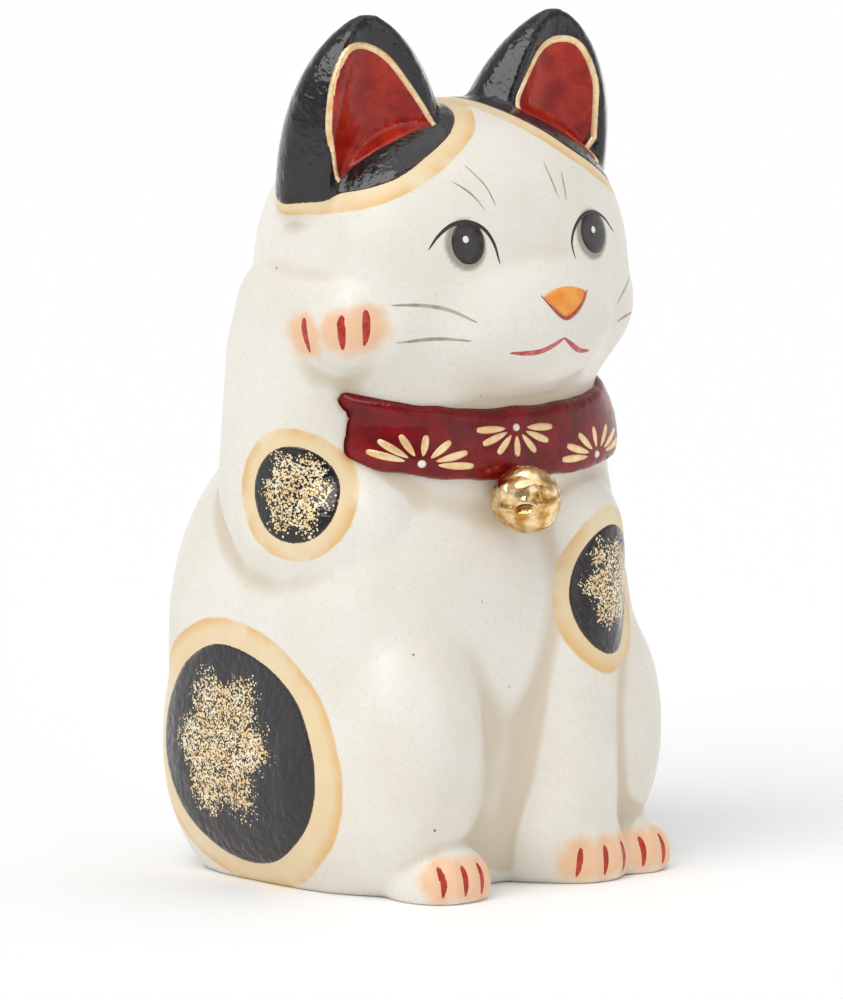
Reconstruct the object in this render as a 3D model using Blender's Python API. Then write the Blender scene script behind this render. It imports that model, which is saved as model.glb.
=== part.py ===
"""Beckoning cat figurine: a hollow slip-cast ceramic cat, modelled as the clay pieces it is put together from.

The cat faces -Y with its own right paw, at -X, raised beside its head. The origin is the centre of its footprint,
on the surface that it stands on. For Blender 4.5, in metres.
"""

import math
from collections import namedtuple

import bmesh
import bpy
from mathutils import Matrix, Vector

# Driving dimensions of the finished figurine.
HEIGHT = 0.160
WIDTH = 0.080
DEPTH = 0.080
WALL = 0.0045
JOINT_GAP = 0.00035

# The clay below is laid out in this unit, a millimetre on a cat of 160 mm.
MM = HEIGHT / 160

# How finely the clay is modelled, in metres, and how often it is wiped smooth.
GRAIN = 1.6 * MM
WIPES = 16

# A lump of clay is an ellipsoid. Exponents above 2 square off its plan and its rise.
Lump = namedtuple("Lump", "centre radii plan rise", defaults=(2.0, 2.0))
# A roll of clay tapers between two points, each with its own radius.
Roll = namedtuple("Roll", "start start_radius end end_radius")

TORSO = (
    Lump((0, 5.5, 24), (42.5, 36.5, 38), plan=4, rise=2.3),
    Lump((0, 5.5, 43), (41.5, 37, 48), plan=3.6, rise=2.2),
    Lump((3.5, 1, 79.5), (35.5, 29.5, 20), plan=2.5, rise=2.5),
    Lump((23.5, -6, 68), (15, 19, 16)),
    Lump((-24, -15, 26), (15.5, 22, 28), plan=2.4, rise=2.2),
    Lump((28, -13, 27), (14, 21, 26), plan=2.4, rise=2.2),
)
HEAD = (
    Lump((0, -6.5, 113), (38.5, 28.5, 32), plan=2.5, rise=2.25),
    Lump((-24, -16, 107), (13.5, 14, 13)),
    Lump((24, -16, 107), (13.5, 14, 13)),
    Lump((0, -27, 105.5), (22, 13.5, 14), plan=2.3),
)
RAISED_ARM = (
    Lump((-24.5, -2, 66), (18, 23, 17.5)),
    Roll((-26.5, 6, 73), 15.5, (-30.5, 5, 100), 11.3),
    Roll((-26, 0, 74), 16, (-29.5, -1.5, 100), 12),
    Roll((-31, 3, 107.5), 10.5, (-30.5, -9, 107.5), 10.5),
    Lump((-30.4, -14.8, 105.8), (11, 11.5, 10.5), plan=2.4),
)
LEFT_FORELEG = (
    Roll((18, -15, 62), 17, (10.5, -23, 12), 15.5),
    Lump((15, -29.5, 3.5), (10, 10, 8), plan=2.5),
)
RIGHT_HIND_FOOT = (Lump((-21.5, -28.5, 3), (10, 11, 8), plan=2.5),)
LEFT_HIND_FOOT = (Lump((29, -27, 3), (9, 11, 8), plan=2.5),)
TAIL = (
    Roll((-12, 35, 9), 6, (4, 36.5, 9), 6.5),
    Roll((4, 36.5, 9), 6.5, (13, 36.5, 19), 6),
    Roll((13, 36.5, 19), 6, (12, 36.5, 29), 5),
)

# The seam between head and body lies under the collar, in a plane that slopes down towards the front.
NECK_CENTRE = (0, -1, 90.2)
NECK_SLOPE = 15
COLLAR_HALF_HEIGHT = 6.4
COLLAR_THICKNESS = 2.4

# A right ear, mirrored for the left: the middle of its base and its tip. The ears stand about a line that lies a
# little to the right of the body's. The right ear turns outwards by its angle, the left one inwards.
EARS_MIDDLE = -1.3
EAR_BASE = (-21, -9, 125)
EAR_TIP = (-24.6, -14, 161.5)
EAR_HALF_WIDTH = 18
EAR_BACK_DEPTH = 14
EAR_RIM_HALF_WIDTH = 12.5
EAR_RIM_FORWARD = 7
EAR_SCOOP_DEPTH = 5
EAR_TURNS = {"right_ear": 11, "left_ear": -8}
EAR_LEVELS = 10

BELL_CENTRE = (-3.6, -34.5, 72.6)
BELL_RADIUS = 6.8
BELL_RIDGE = 0.7

BASE_THICKNESS = 4
VENT_RADIUS = 8

# How finely the ears and the bell are laid out, and how close the balls of a roll lie.
EAR_BACK_STEPS = 12
EAR_SCOOP_STEPS = 8
BELL_STEPS = 24
BELL_STEP_ANGLE = 15
ROLL_SPACING = 2

# The materials: a colour, a roughness and a metalness.
GLAZE = ("white_glaze", (0.83, 0.79, 0.72), 0.3, 0)
BLACK = ("black_enamel", (0.022, 0.018, 0.021), 0.25, 0)
RED = ("red_enamel", (0.19, 0.008, 0.016), 0.25, 0)
GOLD = ("gold_lustre", (0.83, 0.55, 0.22), 0.3, 1)
BISQUE = ("bare_clay", (0.7, 0.62, 0.5), 0.85, 0)

# How many of the modelled triangles each casting keeps.
SHELL_SHARE = 0.1
HOLLOW_SHARE = 0.25
LIMB_SHARE = 0.18


def coat(finish, *pieces):
    """Gives the pieces one material, made from its name, colour, roughness and metalness."""
    name, colour, roughness, metallic = finish
    made = bpy.data.materials.new(name)
    made.use_nodes = True
    shader = made.node_tree.nodes["Principled BSDF"]
    shader.inputs["Base Color"].default_value = (*colour, 1)
    shader.inputs["Roughness"].default_value = roughness
    shader.inputs["Metallic"].default_value = metallic
    for obj in pieces:
        obj.data.materials.clear()
        obj.data.materials.append(made)


def new_object(name, bm):
    mesh = bpy.data.meshes.new(name)
    bm.to_mesh(mesh)
    bm.free()
    made = bpy.data.objects.new(name, mesh)
    bpy.context.scene.collection.objects.link(made)
    return made


def add_lump(bm, lump):
    """A ball drawn out to the lump's radii, and squared off by its exponents."""
    for v in bmesh.ops.create_icosphere(bm, subdivisions=4, radius=1)["verts"]:
        flat = (abs(v.co.x) ** lump.plan + abs(v.co.y) ** lump.plan) ** (lump.rise / lump.plan)
        reach = (flat + abs(v.co.z) ** lump.rise) ** (-1 / lump.rise)
        v.co = Vector(lump.centre[i] + v.co[i] * reach * lump.radii[i] for i in range(3)) * MM


def add_roll(bm, roll):
    """Balls so close together that they wipe into one smooth bar."""
    start, end = Vector(roll.start), Vector(roll.end)
    steps = round((end - start).length / ROLL_SPACING)
    for i in range(steps + 1):
        radius = roll.start_radius + (roll.end_radius - roll.start_radius) * i / steps
        add_lump(bm, Lump(start.lerp(end, i / steps), (radius, radius, radius)))


def apply_modifiers(obj):
    graph = bpy.context.evaluated_depsgraph_get()
    done = bpy.data.meshes.new_from_object(obj.evaluated_get(graph))
    obj.modifiers.clear()
    obj.data = done
    return obj


def clay(name, *pieces):
    """Lumps and rolls pressed together into one solid and wiped smooth."""
    bm = bmesh.new()
    for piece in pieces:
        (add_roll if isinstance(piece, Roll) else add_lump)(bm, piece)
    obj = new_object(name, bm)
    remesh = obj.modifiers.new("Skin", "REMESH")
    remesh.mode = "VOXEL"
    remesh.voxel_size = GRAIN
    smooth = obj.modifiers.new("Wipe", "SMOOTH")
    smooth.factor = 0.5
    smooth.iterations = WIPES
    return apply_modifiers(obj)


def grown(obj, by, name="grown"):
    """A copy whose surface lies this far outside the original, or inside it where by is negative."""
    bm = bmesh.new()
    bm.from_mesh(obj.data)
    bm.normal_update()
    for v, normal in [(v, v.normal.copy()) for v in bm.verts]:
        v.co += normal * by
    return new_object(name, bm)


def thinned(obj, share):
    decimate = obj.modifiers.new("Thin", "DECIMATE")
    decimate.ratio = share
    return apply_modifiers(obj)


def boolean(obj, other, operation="DIFFERENCE"):
    cut = obj.modifiers.new(operation, "BOOLEAN")
    cut.object = other
    cut.operation = operation
    cut.solver = "EXACT"
    return apply_modifiers(obj)


def discard(*objects):
    for obj in objects:
        bpy.data.objects.remove(obj)


def slope_normal():
    """Upwards, square to the plane of the neck seam."""
    return Vector((0, -math.sin(math.radians(NECK_SLOPE)), math.cos(math.radians(NECK_SLOPE))))


def sliced(obj, name, point, normal, keep_above):
    """A copy cut by a plane, with the cut closed."""
    bm = bmesh.new()
    bm.from_mesh(obj.data)
    cut = bmesh.ops.bisect_plane(
        bm,
        geom=bm.verts[:] + bm.edges[:] + bm.faces[:],
        dist=1e-7,
        plane_co=point,
        plane_no=normal,
        clear_inner=keep_above,
        clear_outer=not keep_above,
    )
    rim = [e for e in cut["geom_cut"] if isinstance(e, bmesh.types.BMEdge)]
    bmesh.ops.edgeloop_fill(bm, edges=rim)
    bmesh.ops.recalc_face_normals(bm, faces=bm.faces)
    return new_object(name, bm)


def fitted(obj, *neighbours):
    """Cuts a piece back so that it meets its neighbours with the joint's gap."""
    for neighbour in neighbours:
        cutter = grown(neighbour, JOINT_GAP)
        boolean(obj, cutter)
        discard(cutter)
    return obj


def largest_body(obj):
    """Keeps the biggest of the bodies that a cut has left, and drops the crumbs."""
    bm = bmesh.new()
    bm.from_mesh(obj.data)
    bm.verts.ensure_lookup_table()
    left = set(bm.verts)
    bodies = []
    while left:
        body, edge = set(), [left.pop()]
        while edge:
            v = edge.pop()
            body.add(v)
            near = {e.other_vert(v) for e in v.link_edges} & left
            left -= near
            edge.extend(near)
        bodies.append(body)
    keep = max(bodies, key=len)
    bmesh.ops.delete(bm, geom=[v for v in bm.verts if v not in keep], context="VERTS")
    bm.to_mesh(obj.data)
    bm.free()
    return obj


def ear_section():
    """An ear's section at its base: round behind, with flanks that run forward to the rim of the scoop."""
    back = [math.pi * i / EAR_BACK_STEPS for i in range(EAR_BACK_STEPS + 1)]
    outline = [(EAR_HALF_WIDTH * math.cos(a), EAR_BACK_DEPTH * math.sin(a)) for a in back]
    scoop = [2 * i / EAR_SCOOP_STEPS - 1 for i in range(EAR_SCOOP_STEPS + 1)]
    outline += [
        (EAR_RIM_HALF_WIDTH * i, -EAR_RIM_FORWARD + EAR_SCOOP_DEPTH * (1 - i * i)) for i in scoop
    ]
    return outline


def ear(name, side):
    """A pointed shell with a scooped front, lofted through sections that close in on its tip."""
    base, tip = Vector(EAR_BASE), Vector(EAR_TIP)
    turn = Matrix.Rotation(math.radians(-EAR_TURNS[name]), 3, "Z")
    section = ear_section()
    bm = bmesh.new()
    rings = []
    for level in range(EAR_LEVELS):
        rise = math.sin(math.pi / 2 * level / EAR_LEVELS)
        narrow = (1 - rise**2.7) ** 0.72
        ring = []
        for across, along in section:
            spot = base.lerp(tip, rise) + turn @ Vector((across, along, 0)) * narrow
            ring.append(bm.verts.new(Vector((EARS_MIDDLE + spot.x * side, spot.y, spot.z)) * MM))
        rings.append(ring)
    count = len(section)
    for low, high in zip(rings, rings[1:]):
        for i in range(count):
            j = (i + 1) % count
            bm.faces.new((low[i], low[j], high[j], high[i]))
    bm.faces.new(rings[0][::-1])
    bm.faces.new(rings[-1])
    bmesh.ops.recalc_face_normals(bm, faces=bm.faces)
    return new_object(name, bm)


def neck_band(trunk):
    """The collar: a band of the neck's own outline, raised from it."""
    up = slope_normal()
    middle = Vector(NECK_CENTRE) * MM
    half = up * COLLAR_HALF_HEIGHT * MM
    swollen = grown(trunk, COLLAR_THICKNESS * MM)
    below_top = sliced(swollen, "below_top", middle + half, up, keep_above=False)
    band = sliced(below_top, "collar", middle - half, up, keep_above=True)
    discard(swollen, below_top)
    return band


def turned(name, profile):
    """Spins a profile of (radius, height) points, both ends on the axis, about Z."""
    bm = bmesh.new()
    verts = [bm.verts.new((r * MM, 0, z * MM)) for r, z in profile]
    edges = [bm.edges.new(pair) for pair in zip(verts, verts[1:])]
    bmesh.ops.spin(
        bm, geom=verts + edges, cent=(0, 0, 0), axis=(0, 0, 1), angle=math.tau, steps=BELL_STEPS, use_merge=True
    )
    bmesh.ops.remove_doubles(bm, verts=bm.verts, dist=1e-6)
    bmesh.ops.recalc_face_normals(bm, faces=bm.faces)
    return new_object(name, bm)


def round_bell():
    """A round bell with a ridge about its middle."""
    angles = [math.radians(a) for a in range(-90, 91, BELL_STEP_ANGLE)]
    profile = [(BELL_RADIUS * math.cos(a), BELL_RADIUS * math.sin(a)) for a in angles]
    middle = len(profile) // 2
    profile[0], profile[-1] = (0, -BELL_RADIUS), (0, BELL_RADIUS)
    profile[middle : middle + 1] = [
        (BELL_RADIUS, -BELL_RIDGE),
        (BELL_RADIUS + BELL_RIDGE, 0),
        (BELL_RADIUS, BELL_RIDGE),
    ]
    bell = turned("bell", profile)
    bell.data.transform(Matrix.Translation(Vector(BELL_CENTRE) * MM))
    return bell


def hollow_of(trunk):
    """The space that the slip leaves inside the cast trunk, a wall's thickness in from its surface."""
    hollow = grown(trunk, -WALL, "hollow")
    remesh = hollow.modifiers.new("Skin", "REMESH")
    remesh.mode = "VOXEL"
    remesh.voxel_size = 2 * GRAIN
    return thinned(hollow, HOLLOW_SHARE)


def castings(trunk, hollow):
    """The trunk's two cast shells, parted at the neck and open to each other, and the base that closes them."""
    floor, up = Vector((0, 0, 0)), Vector((0, 0, 1))
    seam, slope = Vector(NECK_CENTRE) * MM, slope_normal()
    standing = sliced(trunk, "standing", floor, up, keep_above=True)
    body = sliced(standing, "torso_shell", seam - slope * JOINT_GAP / 2, slope, keep_above=False)
    head = sliced(standing, "head_shell", seam + slope * JOINT_GAP / 2, slope, keep_above=True)
    boolean(body, hollow)
    boolean(head, hollow)
    loose = grown(hollow, -JOINT_GAP)
    upper = sliced(loose, "upper", floor, up, keep_above=True)
    base = sliced(upper, "base_slab", up * BASE_THICKNESS * MM, up, keep_above=False)
    reach = 2 * BASE_THICKNESS
    vent = turned("vent", [(0, -reach), (VENT_RADIUS, -reach), (VENT_RADIUS, reach), (0, reach)])
    boolean(base, vent)
    discard(standing, loose, upper, vent)
    return body, head, base


def limb(name, clay_pieces, *neighbours):
    """A solid limb, cut level where it stands and cut back to the pieces that it is luted to."""
    whole = thinned(clay("whole", *clay_pieces), LIMB_SHARE)
    cut = sliced(whole, name, Vector((0, 0, 0)), Vector((0, 0, 1)), keep_above=True)
    discard(whole)
    return largest_body(fitted(cut, *neighbours))


def fit_to_size(pieces):
    """Trims the whole cat to its stated size, centred over the origin."""
    corners = [obj.matrix_world @ v.co for obj in pieces for v in obj.data.vertices]
    low = Vector(min(c[i] for c in corners) for i in range(3))
    high = Vector(max(c[i] for c in corners) for i in range(3))
    size = high - low
    scale = Matrix.Diagonal((WIDTH / size.x, DEPTH / size.y, HEIGHT / size.z, 1))
    move = Matrix.Translation(-Vector(((low.x + high.x) / 2, (low.y + high.y) / 2, low.z)))
    for obj in pieces:
        obj.data.transform(scale @ move)


def main():
    for obj in list(bpy.data.objects):
        bpy.data.objects.remove(obj)
    trunk = clay("trunk", *TORSO, *HEAD)
    hollow = hollow_of(trunk)
    thinned(trunk, SHELL_SHARE)
    body, head, base = castings(trunk, hollow)
    collar = fitted(neck_band(trunk), trunk)
    bell = fitted(round_bell(), trunk, collar)
    foreleg = limb("left_foreleg", LEFT_FORELEG, trunk)
    limbs = [
        foreleg,
        limb("right_arm", RAISED_ARM, trunk, collar),
        limb("right_hind_foot", RIGHT_HIND_FOOT, trunk),
        limb("left_hind_foot", LEFT_HIND_FOOT, trunk, foreleg),
        limb("tail", TAIL, trunk),
    ]
    ears = [
        largest_body(fitted(ear("right_ear", 1), trunk)),
        largest_body(fitted(ear("left_ear", -1), trunk)),
    ]
    discard(trunk, hollow)
    fit_to_size([body, head, base, collar, bell, *limbs, *ears])
    coat(GLAZE, body, head, *limbs)
    coat(BLACK, *ears)
    coat(RED, collar)
    coat(GOLD, bell)
    coat(BISQUE, base)


main()
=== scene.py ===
"""Looks of the beckoning cat figurine: one seamless glazed skin over the packed clay pieces, with enamel,
gold lustre and brushwork laid on it.

Lengths are in millimetres, and MM turns them into the scene's metres. The cat faces -Y and its right side is
at -X, so a painted spot on its face is given by X and height."""

import math
from collections import namedtuple

import bmesh
import bpy
from mathutils import Matrix, Vector, noise
from mathutils.bvhtree import BVHTree


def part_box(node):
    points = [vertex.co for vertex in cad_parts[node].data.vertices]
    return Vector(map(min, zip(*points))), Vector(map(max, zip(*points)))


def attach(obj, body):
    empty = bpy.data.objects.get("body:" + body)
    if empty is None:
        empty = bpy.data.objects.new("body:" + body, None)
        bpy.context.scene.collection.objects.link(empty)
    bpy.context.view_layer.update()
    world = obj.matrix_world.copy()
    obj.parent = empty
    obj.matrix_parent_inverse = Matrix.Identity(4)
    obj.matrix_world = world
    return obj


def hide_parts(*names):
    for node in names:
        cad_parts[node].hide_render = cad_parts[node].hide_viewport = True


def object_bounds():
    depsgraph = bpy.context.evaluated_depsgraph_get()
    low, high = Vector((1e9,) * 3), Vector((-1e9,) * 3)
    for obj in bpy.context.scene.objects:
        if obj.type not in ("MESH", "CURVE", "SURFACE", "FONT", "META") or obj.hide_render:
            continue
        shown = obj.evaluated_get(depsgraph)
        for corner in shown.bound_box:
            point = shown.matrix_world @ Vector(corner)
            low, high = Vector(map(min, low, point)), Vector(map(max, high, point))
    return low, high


MM = 0.001
UP = Vector((0, 0, 1))
FORWARD = Vector((0, -1, 0))

WHITE_NODES = (
    "torso_shell",
    "head_shell",
    "right_arm",
    "left_foreleg",
    "right_hind_foot",
    "left_hind_foot",
    "tail",
)
EAR_NODES = ("right_ear", "left_ear")
TRUNK_NODES = ("torso_shell", "head_shell")

# The skin: how far the pieces are swollen to close their joints, the grain it is remade at, and how often it
# is wiped smooth. The plug closes the base slab's vent while the skin is made.
SWELL = 0.3
SKIN_GRAIN = 0.8
SKIN_WIPES = 16
PLUG_RADIUS = 10

# The skin's underside: the height that counts as the sole, and how wide it opens round the vent.
SOLE_HEIGHT = 0.9
VENT_OPENING = 8.2

# Enamel is a thin layer with a rounded edge that is tucked under the skin. The skin is kept this far outside
# its line while it is cut out, and a spot that is nowhere near has the depth FAR.
ENAMEL_LIFT = 0.16
ENAMEL_EDGE = 0.7
TUCK = 0.06
CUT_MARGIN = 2
FAR = -99

# Black enamel on the ears ends at a plane across the head. It is given for the right ear and mirrored for
# the left one. Nothing under EARS_FLOOR is ear.
EARS_FLOOR = 112
EAR_HALO = 3
EAR_SKIRT_NORMAL = Vector((-0.49, -0.11, 0.865))
EAR_SKIRT_LEVEL = 127.5
EAR_SKIRT_LEAN = 0.7

# The ears stand about a line a little to the right of the middle. The ear's own axes start at a point at its
# base and turn outwards by its angle. The outline of each ear's red is across and up them, and its floor
# closes it. No red lies lower than RED_LOWEST or this close to the middle of the head.
EARS_MIDDLE = -1.3
EAR_BASE = Vector((-21, -9, 125))
RIGHT_EAR_TURN, LEFT_EAR_TURN = 11, -8
RIGHT_RED = (
    (-8.1, 5.2), (-10.9, 14), (-10, 22.5), (-7, 28.6), (-2.8, 29.6), (1.8, 27.6), (5.5, 23.2), (10.6, 15),
)
RIGHT_RED_FLOOR = ((10.6, 15), (5.8, 13.6), (-0.3, 10.9), (-4.8, 8), (-8.1, 5.2))
LEFT_RED = (
    (-6.4, 6.8), (-9.8, 14), (-9.6, 22), (-6.9, 28.3), (-2.8, 29.5), (1.7, 27.5), (5.2, 23.2), (8.7, 17),
)
LEFT_RED_FLOOR = ((8.7, 17), (4.6, 14.6), (-0.5, 11.6), (-4.2, 8.8), (-6.4, 6.8))
RED_LOWEST = 127
RED_FROM_MIDDLE = 3

# A black patch: a spot near its middle, the way it faces, its half width and height, how much it leans, the
# width of its halo, and the radius and place of its gold blossom.
Patch = namedtuple("Patch", "name middle facing half_width half_height lean halo gilding gilding_at")
PATCHES = (
    Patch("haunch", (-40, 6.8, 24.4), (-1, -0.05, 0.05), 21.8, 20, 0.1, 5, 13.2, (-2.6, 1.6)),
    Patch("arm", (-37.5, -8, 73.4), (-0.86, -0.45, 0.1), 8.8, 8.9, 0.05, 3.2, 7.6, (0.4, 0.2)),
    Patch("shoulder", (19.8, -30.5, 53.6), (0.32, -0.95, 0.05), 9.6, 12, -0.17, 2.8, 8.2, (0.8, 1.2)),
)

# How bright the studio's white horizon and its dome are, and the share that is left towards its shaded side.
HORIZON = 1.06
DOME = 0.48
SHADE = 0.26
SHADE_AZIMUTH = -30

# The collar: its slope in degrees, its band, and the passes that calm it.
COLLAR_SLOPE = 15
COLLAR_HALF_HEIGHT = 6.4
COLLAR_THICKNESS = 2.1
COLLAR_ROUNDING = 1.9
COLLAR_CALM = 16


# ---------------------------------------------------------------- meshes


def new_object(name, mesh):
    made = bpy.data.objects.new(name, mesh)
    bpy.context.scene.collection.objects.link(made)
    return made


def object_from(name, bm):
    mesh = bpy.data.meshes.new(name)
    bm.to_mesh(mesh)
    bm.free()
    mesh.shade_smooth()
    return new_object(name, mesh)


def apply_modifiers(obj):
    graph = bpy.context.evaluated_depsgraph_get()
    done = bpy.data.meshes.new_from_object(obj.evaluated_get(graph))
    obj.modifiers.clear()
    obj.data = done
    return obj


def bodies(bm):
    """The mesh's separate bodies, each as a set of vertices."""
    left, found = set(bm.verts), []
    while left:
        edge = [left.pop()]
        body = set(edge)
        while edge:
            near = {e.other_vert(v) for v in edge for e in v.link_edges} & left
            left -= near
            body |= near
            edge = list(near)
        found.append(body)
    return found


def tree_of(obj):
    mesh = obj.data
    return BVHTree.FromPolygons([v.co for v in mesh.vertices], [p.vertices for p in mesh.polygons])


def swollen_clay(nodes):
    """The nodes' meshes in one, each a little swollen, and a plug in the vent that seals the hollow."""
    bm = bmesh.new()
    for name in nodes:
        part = bmesh.new()
        part.from_mesh(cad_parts[name].data)
        bmesh.ops.remove_doubles(part, verts=part.verts, dist=1e-6)
        part.normal_update()
        for v, normal in [(v, v.normal.copy()) for v in part.verts]:
            v.co += normal * SWELL * MM
        loose = bpy.data.meshes.new(name)
        part.to_mesh(loose)
        part.free()
        bm.from_mesh(loose)
        bpy.data.meshes.remove(loose)
    low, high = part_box("base_slab")
    bmesh.ops.create_cone(
        bm,
        cap_ends=True,
        segments=32,
        radius1=PLUG_RADIUS * MM,
        radius2=PLUG_RADIUS * MM,
        depth=high[2] - low[2],
        matrix=Matrix.Translation((0, 0, (low[2] + high[2]) / 2)),
    )
    return bm


def wiped_skin(name, nodes):
    """The nodes remade as one smooth surface without joints, kept inside the CAD model's box."""
    skin = object_from(name, swollen_clay((*nodes, "base_slab")))
    remesh = skin.modifiers.new("Skin", "REMESH")
    remesh.mode = "VOXEL"
    remesh.voxel_size = SKIN_GRAIN * MM
    smooth = skin.modifiers.new("Wipe", "SMOOTH")
    smooth.factor = 0.5
    smooth.iterations = SKIN_WIPES
    apply_modifiers(skin)
    bm = bmesh.new()
    bm.from_mesh(skin.data)
    outside = max(bodies(bm), key=len)
    bmesh.ops.delete(bm, geom=[v for v in bm.verts if v not in outside], context="VERTS")
    low, high = cad_box
    for v in bm.verts:
        v.co = Vector(min(max(v.co[i], low[i]), high[i]) for i in range(3))
    bm.to_mesh(skin.data)
    bm.free()
    skin.data.shade_smooth()
    return skin


def smooth_step(value, low, high):
    share = min(max((value - low) / (high - low), 0), 1)
    return share * share * (3 - 2 * share)


def spline(points, step=0.4):
    """A smooth line through the points, given at about this step."""
    points = [Vector(p) for p in points]
    line = []
    for i in range(len(points) - 1):
        before = points[i - 1] if i else points[i] * 2 - points[i + 1]
        after = points[i + 2] if i + 2 < len(points) else points[i + 1] * 2 - points[i]
        start, end = points[i], points[i + 1]
        count = max(2, math.ceil((end - start).length / step))
        for k in range(count):
            t = k / count
            line.append(
                0.5
                * (
                    2 * start
                    + (end - before) * t
                    + (2 * before - 5 * start + 4 * end - after) * t * t
                    + (3 * start - before - 3 * end + after) * t**3
                )
            )
    line.append(points[-1])
    return line


def depth_in(outline, across, up):
    """How deep a point lies inside a closed outline. Outside it is negative."""
    nearest, inside = 1e9, False
    for i, (x1, y1) in enumerate(outline):
        x2, y2 = outline[i - 1]
        if (y1 > up) != (y2 > up) and across < (x2 - x1) * (up - y1) / (y2 - y1) + x1:
            inside = not inside
        dx, dy = x2 - x1, y2 - y1
        share = min(max(((across - x1) * dx + (up - y1) * dy) / (dx * dx + dy * dy + 1e-12), 0), 1)
        nearest = min(nearest, math.hypot(across - x1 - dx * share, up - y1 - dy * share))
    return nearest if inside else -nearest


def axes_facing(facing):
    """Across, to the right of someone who looks at it, up, and out of a spot that faces this way."""
    facing = Vector(facing).normalized()
    across = UP.cross(facing).normalized()
    return across, facing.cross(across), facing


# ---------------------------------------------------------------- painted shapes, as depths inside them


def wander(spot, size, amount):
    return noise.noise(spot / size) * amount


def patch_place(patch, spot):
    """Where a spot lies on a patch: across it, up it, and out of it."""
    across, up, out = axes_facing(patch.facing)
    away = spot - Vector(patch.middle)
    return away.dot(across), away.dot(up), away.dot(out)


def patch_depth(patch, spot):
    across, up, out = patch_place(patch, spot)
    if out < -0.75 * patch.half_width:
        return FAR
    across += patch.lean * up
    round_off = math.hypot(across / patch.half_width, up / patch.half_height)
    depth = (1 - round_off) * min(patch.half_width, patch.half_height)
    return depth + wander(spot, 12, 0.5)


def ear_depth(spot):
    """Depth inside the black of the nearer ear, measured along the head."""
    mirrored = Vector((-abs(spot.x - EARS_MIDDLE), spot.y, spot.z))
    level = mirrored.dot(EAR_SKIRT_NORMAL) - EAR_SKIRT_LEVEL
    return level / EAR_SKIRT_LEAN + wander(spot, 9, 0.5)


def ear_axes(side):
    """Across the ear to its inner edge, and out of its front. Side is -1 for the right ear."""
    turn = math.radians(RIGHT_EAR_TURN if side < 0 else LEFT_EAR_TURN)
    facing = Vector((side * math.sin(turn), -math.cos(turn), 0))
    across = Vector((-side * math.cos(turn), -math.sin(turn), 0))
    return across, facing


def ear_base(side):
    return Vector((EARS_MIDDLE - side * EAR_BASE.x, EAR_BASE.y, EAR_BASE.z))


def ear_place(side, spot):
    across, facing = ear_axes(side)
    base = ear_base(side)
    away = spot - base
    return away.dot(across), away.z, away.dot(facing)


def ear_spot(side, across, up):
    """The spot on the ear's front that lies this far across and up it."""
    to_side, facing = ear_axes(side)
    base = ear_base(side)
    start = base + to_side * across + UP * up + facing * 30
    hit = skin_tree.ray_cast(start * MM, -facing)[0]
    return hit / MM if hit else start - facing * 30


def collar_height(spot):
    """How high a spot lies above the middle of the collar, square to its slope."""
    slope = math.radians(COLLAR_SLOPE)
    return (spot - collar_middle).dot(Vector((0, -math.sin(slope), math.cos(slope))))


def collar_depth(spot):
    return COLLAR_HALF_HEIGHT - abs(collar_height(spot)) + wander(spot, 5, 0.35)


def face_spot(x, z):
    """The spot on the front of the cat at this X and height."""
    hit = skin_tree.ray_cast(Vector((x, -60, z)) * MM, -FORWARD)[0]
    return hit / MM


# ---------------------------------------------------------------- laying enamel and paint on a surface


def cut_out(bm, depth):
    """Cuts the mesh along the line where the depth is zero, and returns each vertex's depth."""
    deep = {v: depth(v.co / MM) for v in bm.verts}
    outside = {v for v in bm.verts if deep[v] < -CUT_MARGIN}
    far = [v for v in bm.verts if v in outside and all(e.other_vert(v) in outside for e in v.link_edges)]
    bmesh.ops.delete(bm, geom=far, context="VERTS")
    bmesh.ops.triangulate(bm, faces=bm.faces)
    bmesh.ops.subdivide_edges(bm, edges=bm.edges, cuts=1, use_grid_fill=True)
    deep = {v: depth(v.co / MM) for v in bm.verts}
    rim = []
    for e in list(bm.edges):
        first, second = e.verts
        if deep[first] * deep[second] < 0:
            share = deep[first] / (deep[first] - deep[second])
            added = bmesh.utils.edge_split(e, first, share)[1]
            deep[added] = 0
            rim.append(added)
    bmesh.ops.connect_verts(bm, verts=rim)
    return deep


def calmed(vectors, passes):
    """The vectors at the vertices, each shared out among its neighbours this many times."""
    for _ in range(passes):
        shared = {}
        for v, vector in vectors.items():
            around = sum((vectors[e.other_vert(v)] for e in v.link_edges), Vector())
            shared[v] = (vector + around).normalized()
        vectors = shared
    return vectors


def enamel(name, surface, depth, lift=ENAMEL_LIFT, edge=ENAMEL_EDGE, calm=0):
    """A layer of enamel on the surface wherever the depth is positive, with a rounded edge.

    A thick layer is calmed by some passes, so that it bridges hollows instead of folding in them."""
    bm = bmesh.new()
    bm.from_mesh(surface.data)
    layer = bm.verts.layers.float.new("depth")
    deep = cut_out(bm, depth)
    bm.normal_update()
    outward = calmed({v: v.normal.copy() for v in bm.verts}, calm)
    bmesh.ops.delete(bm, geom=[v for v in bm.verts if deep[v] < 0], context="VERTS")
    for v in bm.verts:
        share = min(deep[v] / edge, 1)
        rise = math.sqrt(1 - (1 - share) ** 2)
        v[layer] = deep[v]
        v.co += outward[v] * (rise * (lift + TUCK) - TUCK) * MM
    inner = [v for v in bm.verts if deep[v] > edge / 2]
    axes = {"use_axis_x": True, "use_axis_y": True, "use_axis_z": True}
    for _ in range(calm):
        bmesh.ops.smooth_vert(bm, verts=inner, factor=0.5, **axes)
    obj = object_from(name, bm)
    solid = obj.modifiers.new("Body", "SOLIDIFY")
    solid.thickness = (lift + TUCK) * MM
    solid.offset = -1
    return apply_modifiers(obj)


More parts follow.
